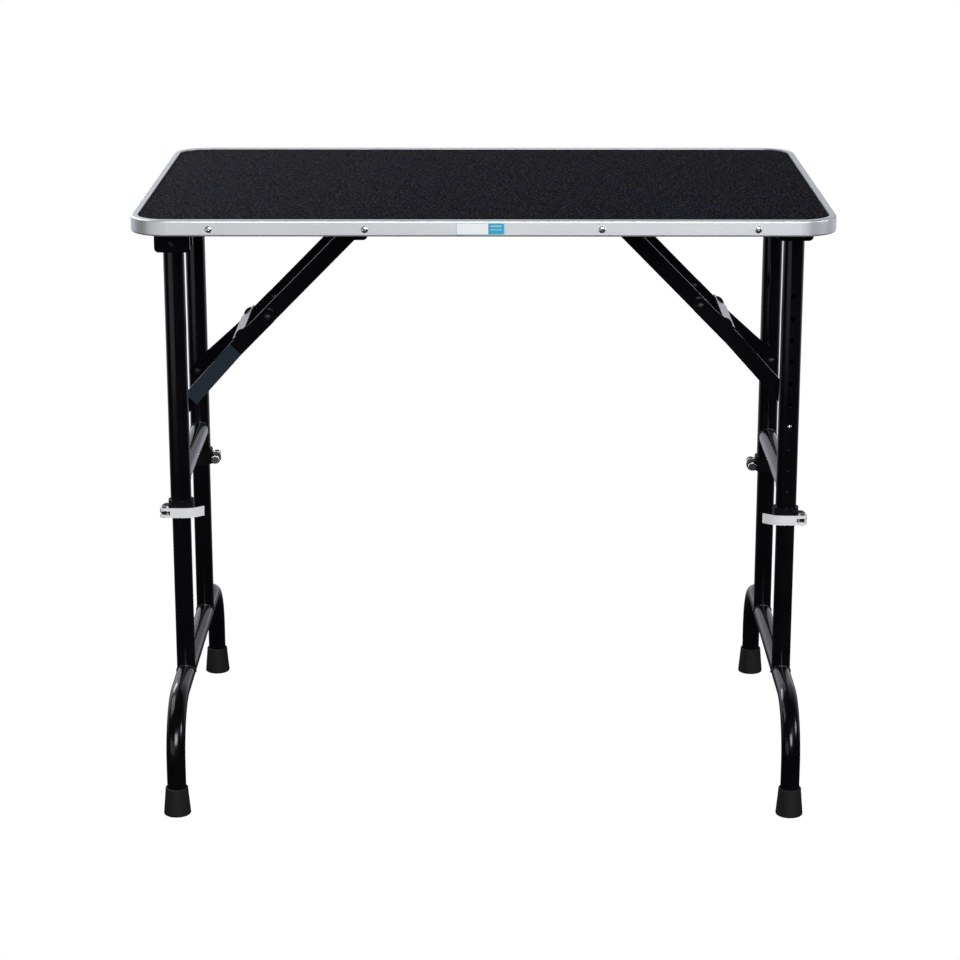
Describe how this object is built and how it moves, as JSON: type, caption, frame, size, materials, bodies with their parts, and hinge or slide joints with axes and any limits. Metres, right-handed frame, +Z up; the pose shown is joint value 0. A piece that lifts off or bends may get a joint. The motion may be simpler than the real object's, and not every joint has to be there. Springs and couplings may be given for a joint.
{
  "type": "folding grooming table",
  "caption": "Flat rectangular work top with a metal rim on two inward-folding, telescoping leg frames, held by folding braces and quick-release lever clamps.",
  "frame": {"origin": "centre of the floor rectangle under the feet, on the floor", "axes": "+X along the long side, +Y to the back (away from the side with the label), +Z up"},
  "size_m": [0.9188, 0.6148, 0.821],
  "materials": {
    "plywood": "matt birch plywood",
    "mat_rubber": "matt, fine pebbled grain",
    "rim_aluminium": "satin anodised",
    "label_film": "printed film, plain panels",
    "powder_coat": "glossy black powder coat",
    "collar_black": "satin black",
    "zinc_hardware": "bright zinc plate",
    "black_hardware": "black plated",
    "lever_steel": "polished",
    "foot_rubber": "matt moulded rubber"
  },
  "bodies": {
    "table": {"table_board": "plywood", "top_mat": "mat_rubber", "edge_trim": "rim_aluminium", "trim_screws": "zinc_hardware", "rim_label": "label_film", "left_leg_brackets": "powder_coat", "left_leg_bracket_screws": "zinc_hardware", "left_hinge_bolts": "black_hardware", "left_hinge_nuts": "black_hardware", "left_brace_bracket": "powder_coat", "left_brace_bracket_screws": "zinc_hardware", "left_brace_top_rivets": "black_hardware", "right_leg_brackets": "powder_coat", "right_leg_bracket_screws": "zinc_hardware", "right_hinge_bolts": "black_hardware", "right_hinge_nuts": "black_hardware", "right_brace_bracket": "powder_coat", "right_brace_bracket_screws": "zinc_hardware", "right_brace_top_rivets": "black_hardware"},
    "left_upper_leg": {"left_upper_leg_frame": "powder_coat", "left_clamp_collars": "collar_black", "left_clamp_bolts": "zinc_hardware", "left_clamp_nuts": "zinc_hardware", "left_cam_seats": "zinc_hardware", "left_cam_barrels": "black_hardware"},
    "left_lower_leg": {"left_lower_leg_frame": "powder_coat", "left_rubber_feet": "foot_rubber"},
    "left_height_button": {"left_height_button": "zinc_hardware"},
    "left_upper_brace": {"left_upper_brace_bars": "powder_coat", "left_brace_stop_saddle": "powder_coat", "left_brace_middle_rivets": "black_hardware"},
    "left_lower_brace": {"left_lower_brace_bars": "powder_coat", "left_brace_end_rivets": "black_hardware"},
    "near_left_lever": {"near_left_clamp_lever": "lever_steel"},
    "far_left_lever": {"far_left_clamp_lever": "lever_steel"},
    "right_upper_leg": {"right_upper_leg_frame": "powder_coat", "right_clamp_collars": "collar_black", "right_clamp_bolts": "zinc_hardware", "right_clamp_nuts": "zinc_hardware", "right_cam_seats": "zinc_hardware", "right_cam_barrels": "black_hardware"},
    "right_lower_leg": {"right_lower_leg_frame": "powder_coat", "right_rubber_feet": "foot_rubber"},
    "right_height_button": {"right_height_button": "zinc_hardware"},
    "right_upper_brace": {"right_upper_brace_bars": "powder_coat", "right_brace_stop_saddle": "powder_coat", "right_brace_middle_rivets": "black_hardware"},
    "right_lower_brace": {"right_lower_brace_bars": "powder_coat", "right_brace_end_rivets": "black_hardware"},
    "near_right_lever": {"near_right_clamp_lever": "lever_steel"},
    "far_right_lever": {"far_right_clamp_lever": "lever_steel"}
  },
  "joints": [
    {"name": "left_leg_fold", "type": "hinge", "parent": "table", "child": "left_upper_leg", "pos_m": [-0.417, 0, 0.7604], "axis": [0, 1, 0], "range_deg": [-84, 0]},
    {"name": "left_upper_brace_turn", "type": "hinge", "parent": "table", "child": "left_upper_brace", "pos_m": [-0.179, 0, 0.7644], "axis": [0, 1, 0], "range_deg": [0, 45.09]},
    {"name": "left_lower_brace_turn", "type": "hinge", "parent": "left_upper_brace", "child": "left_lower_brace", "pos_m": [-0.298, 0, 0.6439], "axis": [0, 1, 0], "range_deg": [-170.27, 0]},
    {"name": "left_leg_height", "type": "slide", "parent": "left_upper_leg", "child": "left_lower_leg", "axis": [0, 0, -1], "range_m": [-0.18, 0.09]},
    {"name": "left_button_press", "type": "slide", "parent": "left_upper_leg", "child": "left_height_button", "axis": [0, -1, 0], "range_m": [0, 0.0028], "stiffness_N_per_m": 1500},
    {"name": "near_left_lever_open", "type": "hinge", "parent": "left_upper_leg", "child": "near_left_lever", "pos_m": [-0.439, -0.1499, 0.387], "axis": [0, 0, -1], "range_deg": [0, 150]},
    {"name": "far_left_lever_open", "type": "hinge", "parent": "left_upper_leg", "child": "far_left_lever", "pos_m": [-0.395, 0.1499, 0.387], "axis": [0, 0, -1], "range_deg": [0, 150]},
    {"name": "right_leg_fold", "type": "hinge", "parent": "table", "child": "right_upper_leg", "pos_m": [0.417, 0, 0.7766], "axis": [0, 1, 0], "range_deg": [0, 82]},
    {"name": "right_upper_brace_turn", "type": "hinge", "parent": "table", "child": "right_upper_brace", "pos_m": [0.179, 0, 0.7806], "axis": [0, 1, 0], "range_deg": [-44.22, 0]},
    {"name": "right_lower_brace_turn", "type": "hinge", "parent": "right_upper_brace", "child": "right_lower_brace", "pos_m": [0.298, 0, 0.6601], "axis": [0, 1, 0], "range_deg": [0, 167.46]},
    {"name": "right_leg_height", "type": "slide", "parent": "right_upper_leg", "child": "right_lower_leg", "axis": [0, 0, 1], "range_m": [-0.09, 0.18]},
    {"name": "right_button_press", "type": "slide", "parent": "right_upper_leg", "child": "right_height_button", "axis": [0, -1, 0], "range_m": [-0.0028, 0], "stiffness_N_per_m": 1500},
    {"name": "near_right_lever_open", "type": "hinge", "parent": "right_upper_leg", "child": "near_right_lever", "pos_m": [0.439, -0.1499, 0.377], "axis": [0, 0, 1], "range_deg": [0, 150]},
    {"name": "far_right_lever_open", "type": "hinge", "parent": "right_upper_leg", "child": "far_right_lever", "pos_m": [0.395, 0.1499, 0.377], "axis": [0, 0, 1], "range_deg": [0, 150]}
  ],
  "couplings": [
    {"joint": "left_upper_brace_turn", "follows": "left_leg_fold", "ratio": -0.53616},
    {"joint": "left_lower_brace_turn", "follows": "left_leg_fold", "ratio": 2.0265},
    {"joint": "right_upper_brace_turn", "follows": "right_leg_fold", "ratio": -0.53871},
    {"joint": "right_lower_brace_turn", "follows": "right_leg_fold", "ratio": 2.0416}
  ]
}
